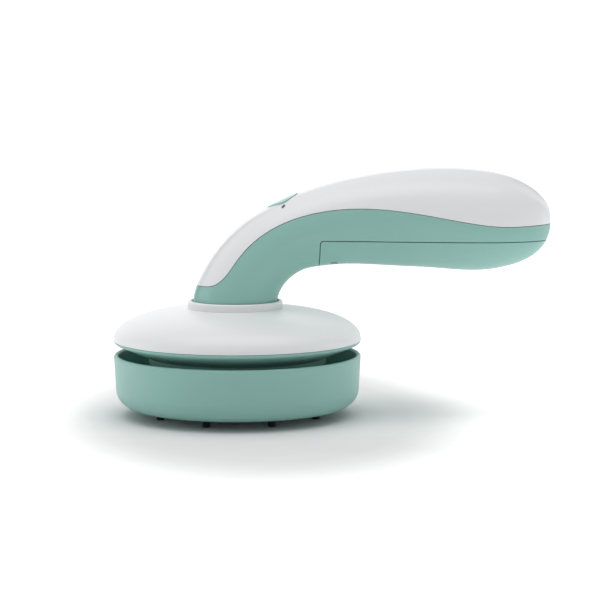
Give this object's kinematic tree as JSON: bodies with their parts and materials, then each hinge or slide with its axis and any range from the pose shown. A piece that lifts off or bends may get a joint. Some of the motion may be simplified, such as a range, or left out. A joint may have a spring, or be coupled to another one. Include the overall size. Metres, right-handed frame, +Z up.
{
  "type": "fabric shaver",
  "caption": "Battery fabric shaver with a round domed head, an open-rimmed lint cup on glide studs, and an arched two-tone handle with a sliding battery cover.",
  "frame": {"origin": "on the head's axis, in the plane that the glide studs' ends stand on", "axes": "+X towards the rear of the handle, +Z up out of the head, -Z out of the studs"},
  "size_m": [0.1625, 0.092, 0.092],
  "materials": {
    "mint_shell": "satin",
    "mint_cover": "satin",
    "mint_button": "satin",
    "mint_chassis": "satin",
    "mint_cup": "satin",
    "white_cover": "satin",
    "white_dome": "satin",
    "dark_mark": "matte",
    "stud_rubber": "matte",
    "foil_steel": "brushed",
    "frame_plastic": "satin",
    "hub_plastic": "satin",
    "blade_steel": "ground",
    "screw_steel": "zinc plated",
    "can_steel": "zinc plated",
    "magnet_ferrite": "sintered",
    "end_cap_plastic": "matte",
    "bush_bronze": "sintered",
    "shaft_steel": "ground",
    "core_steel": "laminated",
    "copper": "drawn",
    "felt": "felted",
    "tray_plastic": "matte",
    "cell_jacket": "gloss",
    "spring_steel": "nickel plated",
    "contact_nickel": "nickel plated",
    "board_green": "solder mask",
    "switch_black": "matte",
    "lead_red_pvc": "satin",
    "lead_black_pvc": "satin"
  },
  "bodies": {
    "shaver_body": {"handle_lower_shell": "mint_shell", "handle_top_cover": "white_cover", "index_mark": "dark_mark", "head_dome": "white_dome", "head_chassis": "mint_chassis", "motor_can": "can_steel", "motor_magnets": "magnet_ferrite", "motor_end_cap": "end_cap_plastic", "motor_bushes": "bush_bronze", "motor_brushes": "copper", "motor_screws": "screw_steel", "dust_seal": "felt", "chassis_screws": "screw_steel", "handle_screws": "screw_steel", "battery_tray": "tray_plastic", "cell_left": "cell_jacket", "cell_right": "cell_jacket", "battery_springs": "spring_steel", "contact_plates": "contact_nickel", "switch_board": "board_green", "switch_body": "switch_black", "button_spring": "spring_steel", "board_screws": "screw_steel", "lead_red": "lead_red_pvc", "lead_black": "lead_black_pvc", "lead_switch": "lead_black_pvc"},
    "rotor": {"motor_shaft": "shaft_steel", "armature_core": "core_steel", "armature_windings": "copper", "commutator": "copper", "blade_hub": "hub_plastic", "blades": "blade_steel", "blade_screw": "screw_steel"},
    "button": {"power_button": "mint_button", "switch_plunger": "switch_black"},
    "cover": {"battery_cover": "mint_cover"},
    "cup": {"lint_cup": "mint_cup", "glide_studs": "stud_rubber"},
    "foil": {"foil_frame": "frame_plastic", "foil_guard": "foil_steel"}
  },
  "joints": [
    {"name": "blade_spin", "type": "hinge", "parent": "shaver_body", "child": "rotor", "pos_m": [0, 0, 0.02], "axis": [0, 0, 1], "continuous": true},
    {"name": "power_button_press", "type": "slide", "parent": "shaver_body", "child": "button", "axis": [0.4147, 0, -0.91], "range_m": [0, 0.0012], "stiffness_N_per_m": 800, "springref_m": -0.0008, "deforming": ["button_spring"]},
    {"name": "battery_cover_slide", "type": "slide", "parent": "shaver_body", "child": "cover", "axis": [0.9999, 0, -0.0105], "range_m": [0, 0.09]},
    {"name": "lint_cup_pull", "type": "slide", "parent": "shaver_body", "child": "cup", "axis": [0, 0, -1], "range_m": [0, 0.03]},
    {"name": "foil_frame_twist", "type": "hinge", "parent": "cup", "child": "foil", "pos_m": [0, 0, 0.005], "axis": [0, 0, 1], "range_deg": [0, 20]}
  ]
}
